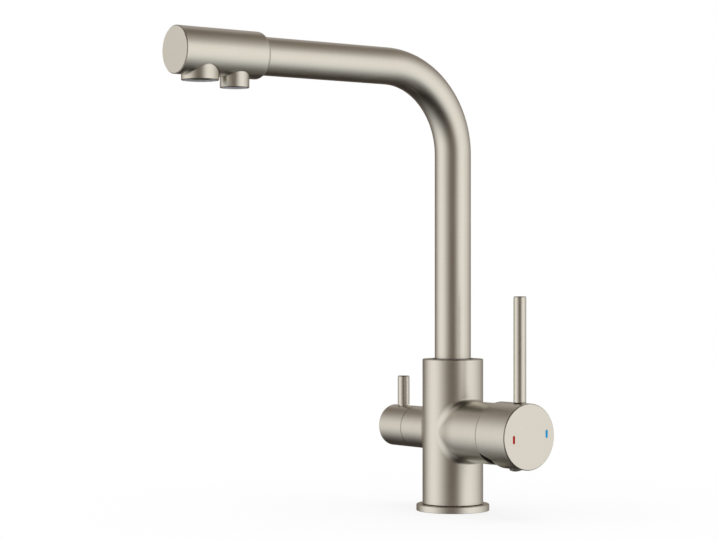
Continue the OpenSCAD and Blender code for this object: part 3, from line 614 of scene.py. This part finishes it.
def tent_cloth():
    """Glowing cloth: white left, right and at the back opening, dim brown elsewhere, with black cards."""
    mat, tree = new_material("tent_cloth")
    place = object_coordinates(tree, ORIGIN)
    aim = add(tree, "VectorMath", operation="NORMALIZE")
    link(tree, place, aim.inputs[0])
    x, y, height = split(tree, aim.outputs[0])
    turn = maths(tree, "ARCTAN2", y, x)
    from_front = maths(tree, "ABSOLUTE", turn)
    slant = maths(tree, "ABSOLUTE", height)

    white = ramp(tree, from_front, *map(radians, BACK_OPENING["turn"]), 0.0, BACK_OPENING["level"])
    white = maths(tree, "MULTIPLY", white, ramp(tree, height, *BACK_OPENING["height"], 0.0, 1.0))
    for cloth in BRIGHT_CLOTH:
        zone = maths(tree, "MULTIPLY", band(tree, turn, *map(radians, cloth["turn"])),
                     band(tree, height, *cloth["height"]))
        white = maths(tree, "ADD", white, maths(tree, "MULTIPLY", zone, cloth["level"]))
    low = DARK_CLOTH_LEVEL["level"] - DARK_CLOTH_LEVEL["below"]
    high = DARK_CLOTH_LEVEL["above"] - DARK_CLOTH_LEVEL["level"]
    dim = maths(tree, "ADD", ramp(tree, height, *DARK_CLOTH_LOW, 0.0, low),
                ramp(tree, height, *DARK_CLOTH_HIGH, 0.0, high))
    dim = maths(tree, "ADD", dim, DARK_CLOTH_LEVEL["below"])

    front = ramp(tree, from_front, *map(radians, BLACK_CARDS["turn"]), 1.0, 0.0)
    front = maths(tree, "MULTIPLY", front, ramp(tree, slant, *BLACK_CARDS["height"], 0.0, 1.0))
    weaker = ramp(tree, height, *LOWER_CARD["height"], LOWER_CARD["share"], 1.0)
    front = maths(tree, "MULTIPLY", front, weaker)
    cards = maths(tree, "MAXIMUM", front, ramp(tree, slant, *BLACK_CARDS["top"], 0.0, 1.0))
    left_over = maths(tree, "SUBTRACT", 1.0, maths(tree, "MULTIPLY", cards, BLACK_CARDS["level"]))

    bright_cloth = add(tree, "Emission", in_Color=WHITE)
    link(tree, maths(tree, "MULTIPLY", white, left_over), bright_cloth.inputs["Strength"])
    dark_cloth = add(tree, "Emission", in_Color=DARK_CLOTH_COLOUR)
    link(tree, maths(tree, "MULTIPLY", dim, left_over), dark_cloth.inputs["Strength"])
    both = add(tree, "AddShader")
    link(tree, bright_cloth.outputs[0], both.inputs[0])
    link(tree, dark_cloth.outputs[0], both.inputs[1])
    finish_material(tree, both)
    return mat


def make_tent():
    """Cloth tent round the set, which only reflections see."""
    tent = bpy.data.objects.new("light_tent", tent_mesh())
    tent.data.materials.append(tent_cloth())
    tent.rotation_euler = (0, 0, CAMERA_TURN - pi / 2)
    bpy.context.scene.collection.objects.link(tent)
    tent.visible_camera = False
    tent.visible_diffuse = False
    tent.visible_transmission = False
    tent.visible_volume_scatter = False
    tent.visible_shadow = False


# Soft boxes: the place, the size and the power of each, and the point they aim at
LAMPS = {
    "left_soft_box": ((-0.9, -1.7, 1.0), (1.4, 1.6), 9),
    "right_soft_box": ((1.7, 0.9, 1.0), (1.4, 1.6), 9),
    "top_soft_box": ((0, 0, 2.2), (1.8, 1.8), 14),
}
LAMP_AIM = Vector((0, -0.05, 0.15))


def make_lamp(name, place, size, power):
    """Large soft box that points at the middle of the tap; its glow in the metal is the tent's."""
    data = bpy.data.lights.new(name, "AREA")
    data.shape = "RECTANGLE"
    data.size, data.size_y = size
    data.energy = power
    lamp = bpy.data.objects.new(name, data)
    lamp.location = place
    lamp.rotation_euler = (LAMP_AIM - Vector(place)).to_track_quat("-Z", "Y").to_euler()
    bpy.context.scene.collection.objects.link(lamp)
    lamp.visible_camera = False
    lamp.visible_glossy = False


make_world()
make_floor()
make_tent()
for name, (place, size, power) in LAMPS.items():
    make_lamp(name, place, size, power)

bpy.context.scene.view_settings.view_transform = "Standard"
